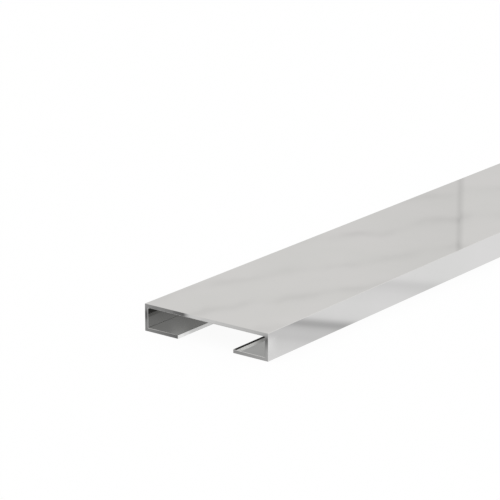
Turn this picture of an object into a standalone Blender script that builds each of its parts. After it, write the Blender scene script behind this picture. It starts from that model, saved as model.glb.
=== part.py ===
"""Decorative wall trim strip: one mirror-polished stainless sheet folded into a lipped C.

The strip lies on its two lips, as it does on a wall or a floor, with its face up. Its length runs
along Y and its width along X. The origin is the middle of its footprint, level with the undersides
of the lips. Sizes are in metres.
"""

import math

import bmesh
import bpy
from mathutils import Vector

# Driving dimensions
FACE_WIDTH = 0.040  # over both sides
STRIP_HEIGHT = 0.0075  # from the lips' undersides to the face
SHEET_THICKNESS = 0.0010
LIP_WIDTH = 0.0110  # from the outside of a side to the lip's free edge
STRIP_LENGTH = 2.500
FOLD_OUTER_RADIUS = 0.00015  # the sheet is grooved along its folds, so they are crisp
FOLD_INNER_RADIUS = 0.00012
LIP_EDGE_RADIUS = 0.00012  # the lips' sheared free edges
END_ROUNDING = 0.00010  # the deburred cut ends

# How finely the round stretches are divided
CORNER_STEPS = 4
END_STEPS = 2

STEEL_COLOUR = (0.610, 0.604, 0.591, 1.0)
STEEL_ROUGHNESS = 0.06
SMOOTH_ANGLE = math.radians(35.0)
SQUARE_CORNER = math.radians(90.0)


def clear_scene():
    for old in list(bpy.data.objects):
        bpy.data.objects.remove(old, do_unlink=True)


def polished_steel():
    material = bpy.data.materials.new("polished_stainless_steel")
    material.use_nodes = True
    shader = material.node_tree.nodes["Principled BSDF"]
    shader.inputs["Base Color"].default_value = STEEL_COLOUR
    shader.inputs["Metallic"].default_value = 1.0
    shader.inputs["Roughness"].default_value = STEEL_ROUGHNESS
    return material


def right_half_corners():
    """The section's corners as (x, z, radius): down the outside of the right side, round its lip
    and back up the inside."""
    outside = FACE_WIDTH / 2
    inside = outside - SHEET_THICKNESS
    free_edge = outside - LIP_WIDTH
    back_of_face = STRIP_HEIGHT - SHEET_THICKNESS
    return [
        (outside, STRIP_HEIGHT, FOLD_OUTER_RADIUS),
        (outside, 0.0, FOLD_OUTER_RADIUS),
        (free_edge, 0.0, LIP_EDGE_RADIUS),
        (free_edge, SHEET_THICKNESS, LIP_EDGE_RADIUS),
        (inside, SHEET_THICKNESS, FOLD_INNER_RADIUS),
        (inside, back_of_face, FOLD_INNER_RADIUS),
    ]


def corner_arc(before, corner, after, radius):
    """Points of the quarter circle that rounds a square corner."""
    back = (before - corner).normalized()
    on = (after - corner).normalized()
    centre = corner + (back + on) * radius
    points = []
    for step in range(CORNER_STEPS + 1):
        turn = SQUARE_CORNER * step / CORNER_STEPS
        points.append(centre - on * radius * math.cos(turn) - back * radius * math.sin(turn))
    return points


def section_outline():
    """The closed outline of the folded sheet, as (x, z) points."""
    right = right_half_corners()
    left = [(-x, z, radius) for x, z, radius in reversed(right)]
    corners = right + left
    outline = []
    for i, (x, z, radius) in enumerate(corners):
        before = Vector(corners[i - 1][:2])
        after = Vector(corners[(i + 1) % len(corners)][:2])
        outline += corner_arc(before, Vector((x, z)), after, radius)
    return outline


def folded_strip(name):
    """The section drawn out to the strip's length, with both cut ends deburred."""
    build = bmesh.new()
    start = -STRIP_LENGTH / 2
    near_end = build.faces.new([build.verts.new((x, start, z)) for x, z in section_outline()])
    drawn = bmesh.ops.extrude_face_region(build, geom=[near_end], use_keep_orig=True)
    far_points = [item for item in drawn["geom"] if isinstance(item, bmesh.types.BMVert)]
    bmesh.ops.translate(build, verts=far_points, vec=(0.0, STRIP_LENGTH, 0.0))
    bmesh.ops.recalc_face_normals(build, faces=build.faces)
    cut_ends = [face for face in build.faces if len(face.verts) > 4]
    cut_edges = [edge for face in cut_ends for edge in face.edges]
    bmesh.ops.bevel(
        build,
        geom=cut_edges,
        offset=END_ROUNDING,
        segments=END_STEPS,
        profile=0.5,
        affect="EDGES",
        clamp_overlap=False,
    )
    mesh = bpy.data.meshes.new(name)
    build.to_mesh(mesh)
    build.free()
    mesh.shade_smooth()
    mesh.set_sharp_from_angle(angle=SMOOTH_ANGLE)
    mesh.materials.append(polished_steel())
    strip = bpy.data.objects.new(name, mesh)
    bpy.context.scene.collection.objects.link(strip)


clear_scene()
folded_strip("trim_profile")
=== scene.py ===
import math

import bmesh
import bpy
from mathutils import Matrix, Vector, noise


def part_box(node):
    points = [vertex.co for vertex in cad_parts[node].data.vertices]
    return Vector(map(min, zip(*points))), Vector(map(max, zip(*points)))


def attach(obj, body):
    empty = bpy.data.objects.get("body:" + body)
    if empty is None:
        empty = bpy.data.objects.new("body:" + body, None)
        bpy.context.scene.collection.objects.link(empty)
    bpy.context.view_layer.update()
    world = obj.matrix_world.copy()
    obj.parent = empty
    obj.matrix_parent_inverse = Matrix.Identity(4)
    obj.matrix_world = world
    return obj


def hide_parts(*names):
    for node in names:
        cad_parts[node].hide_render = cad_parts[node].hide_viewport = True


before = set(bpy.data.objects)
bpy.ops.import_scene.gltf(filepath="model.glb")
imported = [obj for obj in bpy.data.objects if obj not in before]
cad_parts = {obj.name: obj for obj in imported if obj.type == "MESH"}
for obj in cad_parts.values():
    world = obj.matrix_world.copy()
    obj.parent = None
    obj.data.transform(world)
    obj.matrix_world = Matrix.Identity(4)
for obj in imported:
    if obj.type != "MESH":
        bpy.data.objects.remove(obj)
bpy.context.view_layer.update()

stripLow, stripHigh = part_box("trim_profile")
mm = 0.001
degree = math.radians(1.0)
white = (1.0, 1.0, 1.0, 1.0)


def hexToLinear(hexColour):
    # an sRGB hex colour as the linear values that Blender's sockets take
    linear = []
    for start in (1, 3, 5):
        channel = int(hexColour[start:start + 2], 16) / 255
        linear.append(channel / 12.92 if channel <= 0.04045 else ((channel + 0.055) / 1.055) ** 2.4)
    return (*linear, 1.0)


def addNode(tree, kind, settings=None, links=None):
    # settings: the node's properties, or inputs by name or number; links: what feeds each input
    node = tree.nodes.new(kind)
    for key, value in (settings or {}).items():
        if isinstance(key, str) and key in node.bl_rna.properties:
            setattr(node, key, value)
        else:
            node.inputs[key].default_value = value
    for key, source in (links or {}).items():
        socket = source.outputs[0] if isinstance(source, bpy.types.Node) else source
        tree.links.new(socket, node.inputs[key])
    return node


# The strip: one stainless sheet folded into a lipped C, sizes in mm
strip = {
    "sheetThickness": 1.0,
    "rightLipWidth": 11.05,
    "leftLipWidth": 10.95,
    "foldOuterRadius": 0.06,
    "foldInnerRadius": 0.10,
    "slitEdgeRadius": 0.05,
    "endRounding": 0.05,  # how far along the strip the deburring of its cut ends reaches
    "outerArris": 0.03,  # how far it reaches across the sheet, outside and inside the fold
    "innerArris": 0.11,
    "cornerSteps": 8,
    "endSteps": 4,
    "ringSpacing": 10.0,
    "waveDepth": 0.004,  # how far a rolled and folded sheet strays from flat
    "waveLength": 120.0,
    "waveAcross": 60.0,
    "sideWaves": 5.0,  # where in the noise the sides' waves are read, away from the face's
}

outerSkin, innerSkin, slitEdge, cutEnd = range(4)  # the strip's material slots


def halfSection(lipWidth):
    # (x, z, radius) down the outside of the right side, round its lip and back up the inside
    side = stripHigh.x
    inside = side - strip["sheetThickness"] * mm
    freeEdge = side - lipWidth * mm
    lipTop = stripLow.z + strip["sheetThickness"] * mm
    backOfFace = stripHigh.z - strip["sheetThickness"] * mm
    fold = strip["foldOuterRadius"] * mm
    innerFold = strip["foldInnerRadius"] * mm
    edge = strip["slitEdgeRadius"] * mm
    return [
        (side, stripHigh.z, fold),
        (side, stripLow.z, fold),
        (freeEdge, stripLow.z, edge),
        (freeEdge, lipTop, edge),
        (inside, lipTop, innerFold),
        (inside, backOfFace, innerFold),
    ]


def sectionCorners():
    # (x, z, radius, skin of the run that follows), clockwise round the section
    right = halfSection(strip["rightLipWidth"])
    left = [(-x, z, radius) for x, z, radius in reversed(halfSection(strip["leftLipWidth"]))]
    skins = [outerSkin, outerSkin, slitEdge, innerSkin, innerSkin, innerSkin]
    skins += [innerSkin, innerSkin, slitEdge, outerSkin, outerSkin, outerSkin]
    return [(*corner, skin) for corner, skin in zip(right + left, skins)]


def sectionOutline():
    # (place, outward normal, skin of the run to the next point), clockwise round the section
    corners = sectionCorners()
    steps = strip["cornerSteps"]
    outline = []
    for i, (x, z, radius, skin) in enumerate(corners):
        corner = Vector((x, z))
        back = (Vector(corners[i - 1][:2]) - corner).normalized()
        on = (Vector(corners[(i + 1) % len(corners)][:2]) - corner).normalized()
        centre = corner + (back + on) * radius
        bulges = back.x * on.y > back.y * on.x
        for step in range(steps + 1):
            turn = 90 * degree * step / steps
            spoke = -on * math.cos(turn) - back * math.sin(turn)
            normal = spoke if bulges else -spoke
            rounds = slitEdge in (skin, corners[i - 1][3]) and step < steps
            outline.append((centre + spoke * radius, normal, slitEdge if rounds else skin))
    return outline


def ringStations():
    # (y, share of the arris by which the ring is drawn in, whether the next run is cut end)
    rounding = strip["endRounding"] * mm
    turns = [90 * degree * step / strip["endSteps"] for step in range(strip["endSteps"] + 1)]
    ends = [(rounding * (1 - math.cos(turn)), 1 - math.sin(turn)) for turn in turns]
    near = [(stripLow.y + depth, share, True) for depth, share in ends[:-1]]
    first, last = stripLow.y + rounding, stripHigh.y - rounding
    count = round((last - first) / (strip["ringSpacing"] * mm))
    between = [(first + (last - first) * i / count, 0.0, False) for i in range(count)]
    far = [(stripHigh.y - depth, share, True) for depth, share in reversed(ends)]
    return near + between + far


def outOfFlat(place):
    # a sheet is never quite flat: the face dips and the sides draw in by a few microns
    along = place.y / (strip["waveLength"] * mm)
    across = place.x / (strip["waveAcross"] * mm)
    whichSide = math.copysign(1.0, place.x)
    dip = 0.5 + 0.5 * noise.noise(Vector((across, along, 0.0)))
    pull = 0.5 + 0.5 * noise.noise(Vector((strip["sideWaves"], along, whichSide)))
    depth = strip["waveDepth"] * mm
    x = place.x * (1 - depth * pull / stripHigh.x)
    z = place.z * (1 - depth * dip / stripHigh.z)
    return Vector((x, place.y, z))


def addRings(build, outline, stations):
    # the section's points at each station, drawn in near the ends where the saw cut is deburred
    rings = []
    for y, share, _ in stations:
        ring = []
        for place, normal, skin in outline:
            arris = strip["innerArris" if skin == innerSkin else "outerArris"] * mm
            drawnIn = place - normal * arris * share
            ring.append(build.verts.new(outOfFlat(Vector((drawnIn.x, y, drawnIn.y)))))
        rings.append(ring)
    return rings


def addSkins(build, rings, outline, stations):
    # the faces from ring to ring, and the two flat cut ends
    for k in range(len(rings) - 1):
        for i, (_, _, skin) in enumerate(outline):
            j = (i + 1) % len(outline)
            side = build.faces.new((rings[k][i], rings[k][j], rings[k + 1][j], rings[k + 1][i]))
            side.material_index = cutEnd if stations[k][2] else skin
            side.smooth = True
    for ring in (list(reversed(rings[0])), rings[-1]):
        build.faces.new(ring).material_index = cutEnd


def creaseFlats(build, rings):
    # creases where the flats end keep them truly flat, as a mirror shows the slightest tilt
    arc = strip["cornerSteps"] + 1
    points = len(rings[0])
    for k in range(len(rings) - 1):
        for i in range(points):
            if i % arc in (0, arc - 1):
                build.edges.get((rings[k][i], rings[k + 1][i])).smooth = False
    for k in (0, strip["endSteps"], -1 - strip["endSteps"], -1):
        for i in range(points):
            build.edges.get((rings[k][i - 1], rings[k][i])).smooth = False


def makeStrip(materials):
    build = bmesh.new()
    outline = sectionOutline()
    stations = ringStations()
    rings = addRings(build, outline, stations)
    addSkins(build, rings, outline, stations)
    creaseFlats(build, rings)
    bmesh.ops.recalc_face_normals(build, faces=build.faces)
    mesh = bpy.data.meshes.new("mirrorStrip")
    build.to_mesh(mesh)
    build.free()
    for material in materials:
        mesh.materials.append(material)
    piece = bpy.data.objects.new("mirrorStrip", mesh)
    bpy.context.scene.collection.objects.link(piece)
    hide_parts("trim_profile")
    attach(piece, "root")
    print("strip:", len(mesh.polygons), "faces")
    return piece


# Stainless steel: a grey metal that darkens a little at a glancing angle. Sizes in mm.
# The real streaks are some 0.02 mm wide. They are drawn as wide as they need to be to show.
finishes = {
    # buffed along its length to a mirror: a clear picture of the room with a breath of haze
    "mirrorPolishedStainless": {
        "colour": "#CFCECE",
        "hazeColour": "#CBCBCA",
        "roughness": (0.012, 0.028),
        "hazeSize": 30.0,
        "streakSize": (0.4, 60.0, 0.4),
        "streakDepth": 0.00001,
    },
    # the channel's inner faces: a mirror darker than the face, with the rolls' grain
    "darkerInsideStainless": {
        "colour": "#C4C4C3",
        "hazeColour": "#BFBFBE",
        "roughness": (0.015, 0.04),
        "hazeSize": 12.0,
        "streakSize": (0.5, 25.0, 0.5),
        "streakDepth": 0.00002,
    },
    # the slitting knives' edge: bright, with fine upright drag marks
    "slitEdgeStainless": {
        "colour": "#CFCFCE",
        "hazeColour": "#C7C7C6",
        "roughness": (0.015, 0.04),
        "hazeSize": 3.0,
        "streakSize": (4.0, 0.35, 4.0),
        "streakDepth": 0.00004,
    },
    # sawn to length and dressed flat: nearly a mirror, with faint upright strokes
    "dressedSawCutStainless": {
        "colour": "#CECDCC",
        "hazeColour": "#C7C7C6",
        "roughness": (0.006, 0.016),
        "hazeSize": 2.0,
        "streakSize": (0.35, 4.0, 6.0),
        "streakDepth": 0.00001,
    },
}
steel = {
    "glancingTint": "#F3F3F3",
    "hazeDetail": 3.0,
    "hazeBreakUp": 0.6,
    "hazeRange": (0.3, 0.7),  # of the noise, from clear to hazy
    "streakDetail": 2.0,
    "roughestAt": 0.6,  # haze times streaks
}


def makeSteel(name):
    finish = finishes[name]
    material = bpy.data.materials.new(name)
    material.use_nodes = True
    tree = material.node_tree
    shader = tree.nodes["Principled BSDF"]
    shader.inputs["Metallic"].default_value = 1.0
    shader.inputs["Specular Tint"].default_value = hexToLinear(steel["glancingTint"])
    place = addNode(tree, "ShaderNodeTexCoord").outputs["Object"]
    cloud = {
        "Scale": 1 / (finish["hazeSize"] * mm),
        "Detail": steel["hazeDetail"],
        "Roughness": steel["hazeBreakUp"],
    }
    haze = addNode(tree, "ShaderNodeTexNoise", cloud, {"Vector": place})
    clear, hazy = steel["hazeRange"]
    patchy = addNode(
        tree, "ShaderNodeMapRange", {"From Min": clear, "From Max": hazy}, {"Value": haze}
    )
    perStreak = [1 / (size * mm) for size in finish["streakSize"]]
    stretched = addNode(tree, "ShaderNodeMapping", {"Scale": perStreak}, {"Vector": place})
    streaks = addNode(
        tree,
        "ShaderNodeTexNoise",
        {"Scale": 1.0, "Detail": steel["streakDetail"]},
        {"Vector": stretched},
    )
    colour = addNode(
        tree,
        "ShaderNodeMix",
        {
            "data_type": "RGBA",
            6: hexToLinear(finish["colour"]),
            7: hexToLinear(finish["hazeColour"]),
        },
        {0: patchy},
    )
    both = addNode(tree, "ShaderNodeMath", {"operation": "MULTIPLY"}, {0: patchy, 1: streaks})
    lowest, highest = finish["roughness"]
    roughness = addNode(
        tree,
        "ShaderNodeMapRange",
        {"From Max": steel["roughestAt"], "To Min": lowest, "To Max": highest},
        {"Value": both},
    )
    bump = addNode(
        tree, "ShaderNodeBump", {"Distance": finish["streakDepth"] * mm}, {"Height": streaks}
    )
    tree.links.new(colour.outputs[2], shader.inputs["Base Color"])
    tree.links.new(roughness.outputs[0], shader.inputs["Roughness"])
    tree.links.new(bump.outputs[0], shader.inputs["Normal"])
    return material


floorPaint = {
    "colour": "#F6F6F5",
    "shade": 0.06,  # how much of the floor's white is lit paint, which keeps the shadow
    "size": 80.0,  # m
    "gap": 0.02,  # mm below the strip
}


def makeFloor():
    half = floorPaint["size"] / 2
    level = stripLow.z - floorPaint["gap"] * mm
    mesh = bpy.data.meshes.new("floor")
    corners = [(-half, -half, level), (half, -half, level), (half, half, level), (-half, half, level)]
    mesh.from_pydata(corners, [], [(0, 1, 2, 3)])
    floor = bpy.data.objects.new("floor", mesh)
    bpy.context.scene.collection.objects.link(floor)
    material = bpy.data.materials.new("whitePaintedFloor")
    material.use_nodes = True
    tree = material.node_tree
    tree.nodes.clear()
    path = addNode(tree, "ShaderNodeLightPath")
    shape = addNode(tree, "ShaderNodeNewGeometry")
    paint = addNode(tree, "ShaderNodeBsdfDiffuse", {"Color": hexToLinear(floorPaint["colour"])})
    plain = addNode(tree, "ShaderNodeEmission", {"Color": white, "Strength": 1.0})
    share = addNode(
        tree,
        "ShaderNodeMath",
        {"operation": "MULTIPLY", 1: 1 - floorPaint["shade"]},
        {0: path.outputs["Is Camera Ray"]},
    )
    seen = addNode(tree, "ShaderNodeMixShader", {}, {0: share, 1: paint, 2: plain})
    # steel and glass look through the floor to the drawn room, and a view from below to plain white
    mirrored = addNode(
        tree,
        "ShaderNodeMath",
        {"operation": "MAXIMUM"},
        {0: path.outputs["Is Glossy Ray"], 1: path.outputs["Is Transmission Ray"]},
    )
    through = addNode(
        tree, "ShaderNodeMath", {"operation": "MAXIMUM"}, {0: mirrored, 1: shape.outputs["Backfacing"]}
    )
    clear = addNode(tree, "ShaderNodeBsdfTransparent")
    mixed = addNode(tree, "ShaderNodeMixShader", {}, {0: through, 1: seen, 2: clear})
    addNode(tree, "ShaderNodeOutputMaterial", {}, {"Surface": mixed})
    mesh.materials.append(material)
    print("floor: white, with the strip's shadow")


# The room. Mirror steel shows the room round it, so the room is given as the strip sees it: bearings
# in degrees from +Y towards +X, rises in degrees above the horizon, and levels where 1 is white.
room = {
    "light": 0.76,  # what matt surfaces get from it
    "mirrorBounces": 12,
    # from the floor at the strip's feet up the walls to the ceiling, as (rise, level)
    "walls": [
        (-90, 0.90), (-45, 1.0), (-22, 1.12), (-16, 1.115), (-8, 1.05), (0, 0.90), (8, 0.93),
        (15, 0.945), (17.5, 0.975), (20, 0.985), (38, 1.10), (60, 1.06), (90, 0.95),
    ],
    # two low white steps across the room, with a shadow under each nosing, as (rise, level)
    "stepBearing": 22.0,  # where they come nearest
    "steps": [
        (-20.3, 0.96), (-20.0, 0.90), (-19.82, 0.85), (-19.70, 0.775), (-19.55, 0.78),
        (-19.45, 0.73), (-19.34, 0.54), (-19.28, 0.57), (-19.15, 0.92), (-19.05, 0.955),
        (-18.75, 0.965), (-18.45, 0.93), (-18.23, 0.845), (-18.17, 0.86), (-18.05, 0.975),
        (-17.95, 1.0),
    ],
    # cards and screens, as (bearings, rises, levels from the first bearing to the second, softness)
    "cards": [
        ((-28.0, 28.0), (24.0, 60.0), (1.5, 1.5), 4.0),  # large soft lamp overhead
        ((36.4, 38.3), (-19.6, -19.05), (1.13, 1.13), 0.28),  # glow round a narrow lamp
        ((36.8, 38.2), (-19.7, -18.9), (3.4, 3.4), 0.3),  # the lamp, beyond the strip's side
        ((38.6, 39.1), (-19.4, -18.9), (1.38, 1.38), 0.1),  # small bright card next to it
        ((38.2, 41.0), (-18.7, -18.0), (0.55, 0.55), 0.2),  # dim stretch that the channel mirrors
        ((-40.6, -39.3), (-18.7, -18.0), (0.6, 0.6), 0.1),  # and one for its far corner
        ((-165.0, -47.0), (-40.0, -10.0), (0.38, 0.38), 3.0),  # low grey screen behind the camera
        ((-143.9, -141.27), (-19.6, -19.0), (0.205, 0.205), 0.06),  # shadow under a window sill
        ((-143.9, -141.27), (-23.0, -19.17), (0.645, 0.29), 0.35),  # pale wall below it
        ((-143.9, -141.25), (-19.21, -15.0), (0.62, 0.98), 0.16),  # the bright window
        ((-141.27, -139.6), (-23.0, -15.0), (0.19, 0.52), 0.01),  # dark doorway beside it
        ((-141.02, -139.6), (-18.78, -15.0), (0.31, 0.58), 0.06),  # light on its upper part
        ((-140.62, -139.7), (-18.82, -18.38), (0.18, 0.18), 0.2),  # and a dark shelf in it
    ],
}

# Pale veined stone, laid in slabs on the room's walls. Sizes in degrees, as the strip sees them.
stone = {
    "colour": "#FFFEFC",
    "startsAt": (0.0, 4.0),  # rises between which the wall turns to stone
    "level": 1.015,
    "slabWidth": 17.0,
    "fadesFrom": 0.8,  # of a slab's width
    "fade": 0.965,  # each slab's level at its right side
    "jointBearing": -31.98,
    "jointReach": 0.135,  # from the middle of a joint to the bright stone
    "jointLevel": 0.88,
    "veinFall": 8.5,  # by which the veins slope down to the right
    "veinStart": 19.7,  # where along the stone the slab to the right of the joint is cut
    "veinShift": -4.1,  # and how much further along it each next slab
    "stainReach": 0.35,  # how near a joint the veins are stained darker
    "stainBoost": 1.9,
    "veinSpacing": 1.25,
    "veinWidth": 0.12,
    "veinWander": 1.4,
    "wanderDetail": 3.0,
    "wanderScale": 2.4,
    "patchScale": 0.9,  # patches in which the veins come and go
    "patchDetail": 2.0,
    "patchRange": (0.35, 0.6),
    "faintest": 0.2,
    "veins": [(2.2, 0.10), (5.27, 0.075)],  # main and side veins, as (phase, shade)
}


def addRises(tree, rise, stops):
    # a level that follows the rise through stops of (degrees, level)
    lowest, highest = stops[0][0], stops[-1][0]
    along = addNode(
        tree, "ShaderNodeMapRange", {"From Min": lowest, "From Max": highest}, {"Value": rise}
    )
    ramp = addNode(tree, "ShaderNodeValToRGB", {}, {"Fac": along})
    elements = ramp.color_ramp.elements
    elements.remove(elements[-1])
    for i, (at, level) in enumerate(stops):
        place = (at - lowest) / (highest - lowest)
        element = elements.new(place) if i else elements[0]
        element.color = (level, level, level, 1.0)
    return ramp


def addSteps(tree, direction, height):
    # straight steps run away to the sides, so they are read at the rise where they come nearest
    turn = room["stepBearing"] * degree
    ahead = Vector((math.sin(turn), math.cos(turn), 0))
    towards = addNode(
        tree, "ShaderNodeVectorMath", {"operation": "DOT_PRODUCT", 1: ahead}, {0: direction}
    )
    away = addNode(tree, "ShaderNodeMath", {"operation": "ABSOLUTE"}, {0: towards.outputs["Value"]})
    tilt = addNode(tree, "ShaderNodeMath", {"operation": "ARCTAN2"}, {0: height, 1: away})
    rise = addNode(tree, "ShaderNodeMath", {"operation": "DEGREES"}, {0: tilt})
    return addRises(tree, rise, room["steps"])


def addVeins(tree, aslant, phase, shade):
    # dark lines at an even spacing that wander, and come and go along their length
    spacing = stone["veinSpacing"]
    bands = addNode(
        tree,
        "ShaderNodeTexWave",
        {
            "bands_direction": "Y",
            "Scale": math.pi / 10 / spacing,  # the node draws 10 / pi bands to a unit
            "Phase Offset": phase,
            "Distortion": stone["veinWander"],
            "Detail": stone["wanderDetail"],
            "Detail Scale": stone["wanderScale"],
        },
        {"Vector": aslant},
    )
    halfWay = (1 + math.cos(math.pi * stone["veinWidth"] / spacing)) / 2
    sharpness = math.log(0.5) / math.log(halfWay)  # makes a band that wide where it is half as dark
    lines = addNode(
        tree, "ShaderNodeMath", {"operation": "POWER", 1: sharpness}, {0: bands.outputs["Fac"]}
    )
    patches = addNode(
        tree,
        "ShaderNodeTexNoise",
        {"Scale": stone["patchScale"], "Detail": stone["patchDetail"]},
        {"Vector": aslant},
    )
    faint, strong = stone["patchRange"]
    comeAndGo = addNode(
        tree,
        "ShaderNodeMapRange",
        {
            "From Min": faint,
            "From Max": strong,
            "To Min": stone["faintest"] * shade,
            "To Max": shade,
        },
        {"Value": patches},
    )
    return addNode(tree, "ShaderNodeMath", {"operation": "MULTIPLY"}, {0: lines, 1: comeAndGo})


def addSlabs(tree, place, bearing, above):
    # the stone's level: slabs that darken near their right side, with joints and slanting veins
    left = stone["jointBearing"]
    slab = addNode(
        tree,
        "ShaderNodeMapRange",
        {"clamp": False, "From Min": left, "From Max": left + stone["slabWidth"]},
        {"Value": bearing},
    )
    across = addNode(tree, "ShaderNodeMath", {"operation": "FRACT"}, {0: slab})
    faded = addNode(
        tree,
        "ShaderNodeMapRange",
        {
            "interpolation_type": "SMOOTHSTEP",
            "From Min": stone["fadesFrom"],
            "To Min": stone["level"],
            "To Max": stone["level"] * stone["fade"],
        },
        {"Value": across},
    )
    toJoint = addNode(tree, "ShaderNodeMath", {"operation": "PINGPONG", 1: 0.5}, {0: slab})
    jointed = addNode(
        tree,
        "ShaderNodeMapRange",
        {
            "interpolation_type": "SMOOTHSTEP",
            "From Max": stone["jointReach"] / stone["slabWidth"],
            "To Min": stone["jointLevel"],
            "To Max": 1.0,
        },
        {"Value": toJoint},
    )
    level = addNode(tree, "ShaderNodeMath", {"operation": "MULTIPLY"}, {0: faded, 1: jointed})
    number = addNode(tree, "ShaderNodeMath", {"operation": "FLOOR"}, {0: slab})
    shift = addNode(
        tree,
        "ShaderNodeMath",
        {"operation": "MULTIPLY_ADD", 1: stone["veinShift"], 2: stone["veinStart"]},
        {0: number},
    )
    start = addNode(tree, "ShaderNodeCombineXYZ", {}, {"X": shift})
    aslant = addNode(
        tree,
        "ShaderNodeMapping",
        {"Rotation": (0, 0, stone["veinFall"] * degree)},
        {"Vector": place, "Location": start},
    )
    stained = addNode(
        tree,
        "ShaderNodeMapRange",
        {
            "From Max": stone["stainReach"] / stone["slabWidth"],
            "To Min": stone["stainBoost"],
            "To Max": 1.0,
        },
        {"Value": toJoint},
    )
    for phase, shade in stone["veins"]:
        lines = addVeins(tree, aslant, phase, shade)
        veins = addNode(tree, "ShaderNodeMath", {"operation": "MULTIPLY"}, {0: lines, 1: stained})
        level = addNode(tree, "ShaderNodeMath", {"operation": "SUBTRACT"}, {0: level, 1: veins})
    return addNode(tree, "ShaderNodeMix", {"data_type": "FLOAT", 2: 1.0}, {0: above, 3: level})


def addCard(tree, place, bearing, level, card):
    # one card of the room, mixed over the level so far
    bearings, rises, levels, softness = card
    middle = (sum(bearings) / 2, sum(rises) / 2, 0)
    reach = ((bearings[1] - bearings[0]) / 2, (rises[1] - rises[0]) / 2, 0)
    fromMiddle = addNode(
        tree, "ShaderNodeVectorMath", {"operation": "SUBTRACT", 1: middle}, {0: place}
    )
    either = addNode(tree, "ShaderNodeVectorMath", {"operation": "ABSOLUTE"}, {0: fromMiddle})
    beyond = addNode(tree, "ShaderNodeVectorMath", {"operation": "SUBTRACT", 1: reach}, {0: either})
    axes = addNode(tree, "ShaderNodeSeparateXYZ", {}, {0: beyond})
    furthest = addNode(
        tree, "ShaderNodeMath", {"operation": "MAXIMUM"}, {0: axes.outputs["X"], 1: axes.outputs["Y"]}
    )
    inside = addNode(
        tree,
        "ShaderNodeMapRange",
        {"interpolation_type": "SMOOTHSTEP", "From Min": 0.0, "From Max": -softness},
        {"Value": furthest},
    )
    shine = addNode(
        tree,
        "ShaderNodeMapRange",
        {
            "From Min": bearings[0],
            "From Max": bearings[1],
            "To Min": levels[0],
            "To Max": levels[1],
        },
        {"Value": bearing},
    )
    return addNode(tree, "ShaderNodeMix", {"data_type": "FLOAT"}, {0: inside, 2: level, 3: shine})


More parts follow.
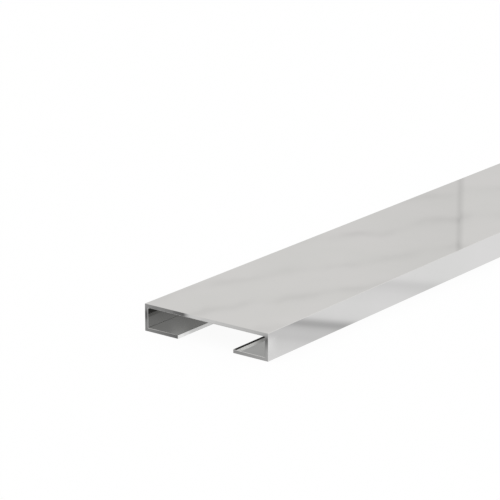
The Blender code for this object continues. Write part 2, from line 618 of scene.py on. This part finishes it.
def makeWorld():
    world = bpy.data.worlds.new("studio")
    bpy.context.scene.world = world
    world.use_nodes = True
    tree = world.node_tree
    tree.nodes.clear()
    direction = addNode(tree, "ShaderNodeTexCoord").outputs["Generated"]
    axes = addNode(tree, "ShaderNodeSeparateXYZ", {}, {0: direction})
    east, north, height = (axes.outputs[name] for name in "XYZ")
    turn = addNode(tree, "ShaderNodeMath", {"operation": "ARCTAN2"}, {0: east, 1: north})
    tilt = addNode(tree, "ShaderNodeMath", {"operation": "ARCSINE"}, {0: height})
    bearing = addNode(tree, "ShaderNodeMath", {"operation": "DEGREES"}, {0: turn})
    rise = addNode(tree, "ShaderNodeMath", {"operation": "DEGREES"}, {0: tilt})
    place = addNode(tree, "ShaderNodeCombineXYZ", {}, {"X": bearing, "Y": rise})
    bare, clad = stone["startsAt"]
    above = addNode(tree, "ShaderNodeMapRange", {"From Min": bare, "From Max": clad}, {"Value": rise})
    walls = addRises(tree, rise, room["walls"])
    steps = addSteps(tree, direction, height)
    slabs = addSlabs(tree, place, bearing, above)
    stepped = addNode(tree, "ShaderNodeMath", {"operation": "MULTIPLY"}, {0: walls, 1: steps})
    level = addNode(tree, "ShaderNodeMath", {"operation": "MULTIPLY"}, {0: stepped, 1: slabs})
    for card in room["cards"]:
        level = addCard(tree, place, bearing, level, card)
    colour = addNode(
        tree,
        "ShaderNodeMix",
        {"data_type": "RGBA", 6: white, 7: hexToLinear(stone["colour"])},
        {0: above},
    )
    mirrored = addNode(
        tree, "ShaderNodeBackground", {}, {"Color": colour.outputs[2], "Strength": level}
    )
    # the camera sees plain white, and matt surfaces get a plain level of light
    path = addNode(tree, "ShaderNodeLightPath")
    lighting = addNode(
        tree,
        "ShaderNodeMix",
        {"data_type": "FLOAT", 2: room["light"], 3: 1.0},
        {0: path.outputs["Is Camera Ray"]},
    )
    plain = addNode(tree, "ShaderNodeBackground", {"Color": white}, {"Strength": lighting})
    isMirrored = addNode(
        tree,
        "ShaderNodeMath",
        {"operation": "MAXIMUM"},
        {0: path.outputs["Is Glossy Ray"], 1: path.outputs["Is Transmission Ray"]},
    )
    mixed = addNode(tree, "ShaderNodeMixShader", {}, {0: isMirrored, 1: plain, 2: mirrored})
    addNode(tree, "ShaderNodeOutputWorld", {}, {"Surface": mixed})
    # the channel's faces mirror one another many times, and a path cut short at random is a speckle
    bpy.context.scene.cycles.glossy_bounces = room["mirrorBounces"]
    bpy.context.scene.cycles.min_light_bounces = room["mirrorBounces"]
    print("room: stone walls, two steps and", len(room["cards"]), "cards")


lampLook = {
    "light": 0.35,  # on a level floor, where 1 is white
    "spread": 60.0,  # degrees
    "tilt": (25.0, -15.0),
}


def makeLamp():
    data = bpy.data.lights.new("softLamp", "SUN")
    data.energy = lampLook["light"] * math.pi
    data.angle = lampLook["spread"] * degree
    lamp = bpy.data.objects.new("softLamp", data)
    bpy.context.scene.collection.objects.link(lamp)
    lamp.rotation_euler = (lampLook["tilt"][0] * degree, lampLook["tilt"][1] * degree, 0.0)
    lamp.visible_glossy = False  # the mirror faces show the plain room
    print("lamp: one soft sun")


# The camera: a long lens in front of the near end, to its right and a little above
view = {
    "lens": 175.5,
    "sensor": 36.0,
    "yaw": 37.109,  # degrees to the left of the strip's length
    "pitch": 17.091,  # degrees down
    "fromCorner": (385.19, -463.78, 207.21),  # mm from the near end's lower left corner
}


def makeCamera():
    data = bpy.data.cameras.new("camera")
    data.lens = view["lens"]
    data.sensor_width = view["sensor"]
    camera = bpy.data.objects.new("camera", data)
    bpy.context.scene.collection.objects.link(camera)
    camera.location = stripLow + Vector(view["fromCorner"]) * mm
    yaw, pitch = view["yaw"] * degree, view["pitch"] * degree
    ahead = math.cos(pitch)
    forward = Vector((-math.sin(yaw) * ahead, math.cos(yaw) * ahead, -math.sin(pitch)))
    camera.rotation_euler = forward.to_track_quat("-Z", "Y").to_euler()
    bpy.context.scene.camera = camera
    print("camera:", view["lens"], "mm lens")


makeStrip([makeSteel(name) for name in finishes])
makeFloor()
makeWorld()
makeLamp()
makeCamera()
bpy.context.scene.view_settings.view_transform = "Standard"
